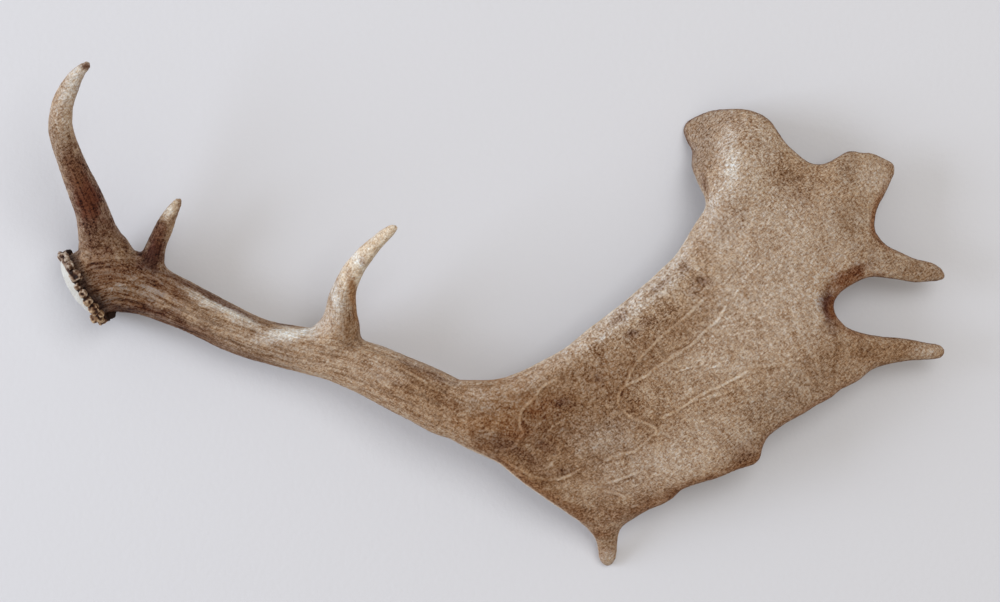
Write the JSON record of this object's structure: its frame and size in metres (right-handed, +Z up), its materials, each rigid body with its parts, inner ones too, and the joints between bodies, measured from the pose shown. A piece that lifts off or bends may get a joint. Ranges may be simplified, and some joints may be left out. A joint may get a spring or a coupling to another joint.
{
  "type": "fallow deer antler",
  "caption": "Cast fallow deer antler lying on its back: round beam with a pearled burr, brow, second and trez tines, and a broad palm with spellers and a guard tine.",
  "frame": {"origin": "on the surface that the antler lies on, under the middle of its box", "axes": "+X from the burr towards the palm's spellers, +Y towards the brow tine's side, +Z up"},
  "size_m": [0.6132, 0.3436, 0.1006],
  "materials": {
    "antler_bone": "dull fibrous antler bone, tan and brown, paler on tips and ridges"
  },
  "bodies": {
    "root": {"beam": "antler_bone", "brow_tine": "antler_bone", "second_tine": "antler_bone", "trez_tine": "antler_bone", "palm": "antler_bone"}
  },
  "joints": []
}
